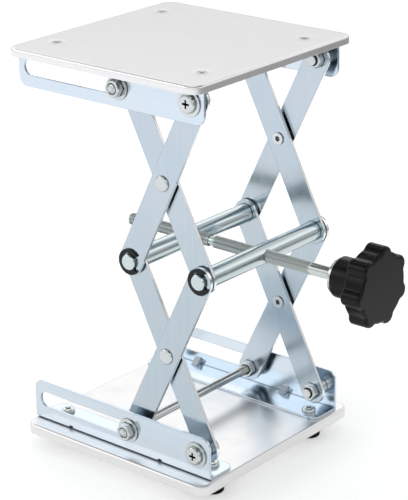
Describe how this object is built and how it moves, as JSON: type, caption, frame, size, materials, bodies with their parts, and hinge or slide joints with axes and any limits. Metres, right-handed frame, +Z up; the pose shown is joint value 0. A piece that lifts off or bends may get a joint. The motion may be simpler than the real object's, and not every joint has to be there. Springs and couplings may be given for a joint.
{
  "type": "lab jack",
  "caption": "Scissor lab jack: a square platform on stacked crossed arms, raised by a through screw with a lobed hand knob, on a pressed base with rubber feet.",
  "frame": {"origin": "middle of the square base, level with the soles of the rubber feet", "axes": "+X along the drive screw towards the knob, +Y along the cross bars, +Z up"},
  "size_m": [0.2268, 0.15, 0.2648],
  "materials": {
    "plate_steel": "satin",
    "rail_steel": "satin, zinc plated",
    "arm_steel": "bright, zinc plated",
    "bar_steel": "turned, plated",
    "fastener_steel": "bright, zinc plated",
    "screw_steel": "threaded, oiled",
    "clip_black": "black oxide",
    "knob_black": "gloss",
    "foot_rubber": "matte"
  },
  "bodies": {
    "base": {"base_plate": "plate_steel", "base_rail_near": "rail_steel", "base_rail_far": "rail_steel", "base_rail_screws": "fastener_steel", "base_rail_nuts": "fastener_steel", "rubber_foot_1": "foot_rubber", "rubber_foot_2": "foot_rubber", "rubber_foot_3": "foot_rubber", "rubber_foot_4": "foot_rubber", "base_pivot_screws": "fastener_steel", "base_pivot_washers": "fastener_steel", "base_pivot_spacers": "fastener_steel", "base_pivot_nuts": "fastener_steel"},
    "lower_inner": {"lower_inner_arm_near": "arm_steel", "lower_inner_arm_far": "arm_steel"},
    "lower_outer": {"lower_outer_arm_near": "arm_steel", "lower_outer_arm_far": "arm_steel", "lower_cross_rivets": "fastener_steel", "lower_rivet_washers": "fastener_steel", "lower_tie_rod": "fastener_steel", "lower_tie_nuts": "fastener_steel", "lower_tie_washers": "fastener_steel", "lower_slot_bushes": "fastener_steel"},
    "front_bar": {"front_cross_bar": "bar_steel", "front_bar_clips": "clip_black", "front_bar_washers": "fastener_steel"},
    "upper_inner": {"upper_inner_arm_near": "arm_steel", "upper_inner_arm_far": "arm_steel", "upper_tie_rod": "fastener_steel", "upper_tie_nuts": "fastener_steel", "upper_tie_washers": "fastener_steel", "upper_slot_bushes": "fastener_steel"},
    "upper_outer": {"upper_outer_arm_near": "arm_steel", "upper_outer_arm_far": "arm_steel", "upper_cross_rivets": "fastener_steel", "upper_rivet_washers": "fastener_steel"},
    "platform": {"top_plate": "plate_steel", "top_rail_near": "rail_steel", "top_rail_far": "rail_steel", "top_rail_screws": "fastener_steel", "top_rail_nuts": "fastener_steel", "top_pivot_screws": "fastener_steel", "top_pivot_washers": "fastener_steel", "top_pivot_spacers": "fastener_steel", "top_pivot_nuts": "fastener_steel"},
    "rear_bar": {"rear_cross_bar": "bar_steel", "rear_bar_clips": "clip_black", "rear_bar_washers": "fastener_steel"},
    "thrust_washer": {"knob_washer": "fastener_steel"},
    "drive": {"lead_screw": "screw_steel", "knob_insert": "fastener_steel", "knob": "knob_black"}
  },
  "joints": [
    {"name": "fold", "type": "hinge", "parent": "base", "child": "lower_inner", "pos_m": [0.061, 0, 0.0299], "axis": [0, -1, 0], "range_deg": [0, 55]},
    {"name": "lower_cross_pivot", "type": "hinge", "parent": "lower_inner", "child": "lower_outer", "pos_m": [0.03361, 0, 0.08519], "axis": [0, -1, 0], "range_deg": [-110.1, 0.1]},
    {"name": "front_bar_pivot", "type": "hinge", "parent": "lower_outer", "child": "front_bar", "pos_m": [0.061, 0, 0.14048], "axis": [0, -1, 0], "range_deg": [-0.1, 55.1]},
    {"name": "front_mid_pivot", "type": "hinge", "parent": "lower_outer", "child": "upper_inner", "pos_m": [0.061, 0, 0.14048], "axis": [0, -1, 0], "range_deg": [-0.1, 110.1]},
    {"name": "upper_cross_pivot", "type": "hinge", "parent": "upper_inner", "child": "upper_outer", "pos_m": [0.03361, 0, 0.19577], "axis": [0, -1, 0], "range_deg": [-110.1, 0.1]},
    {"name": "platform_pivot", "type": "hinge", "parent": "upper_outer", "child": "platform", "pos_m": [0.061, 0, 0.25106], "axis": [0, -1, 0], "range_deg": [-0.1, 55.1]},
    {"name": "rear_bar_pivot", "type": "hinge", "parent": "lower_inner", "child": "rear_bar", "pos_m": [0.00623, 0, 0.14048], "axis": [0, -1, 0], "range_deg": [-55.1, 0.1]},
    {"name": "screw_travel", "type": "slide", "parent": "front_bar", "child": "thrust_washer", "axis": [-1, 0, 0], "range_m": [-0.00001, 0.03363]},
    {"name": "knob_spin", "type": "hinge", "parent": "thrust_washer", "child": "drive", "pos_m": [0, 0, 0.14048], "axis": [1, 0, 0], "range_deg": [-1, 9682]}
  ],
  "couplings": [
    {"joint": "lower_cross_pivot", "follows": "fold", "ratio": -2},
    {"joint": "front_bar_pivot", "follows": "fold", "ratio": 1},
    {"joint": "front_mid_pivot", "follows": "fold", "ratio": 2},
    {"joint": "upper_cross_pivot", "follows": "fold", "ratio": -2},
    {"joint": "platform_pivot", "follows": "fold", "ratio": 1},
    {"joint": "rear_bar_pivot", "follows": "fold", "ratio": -1},
    {"joint": "screw_travel", "follows": "fold", "m_per_rad": 0.035015},
    {"joint": "knob_spin", "follows": "fold", "ratio": 176.01}
  ]
}
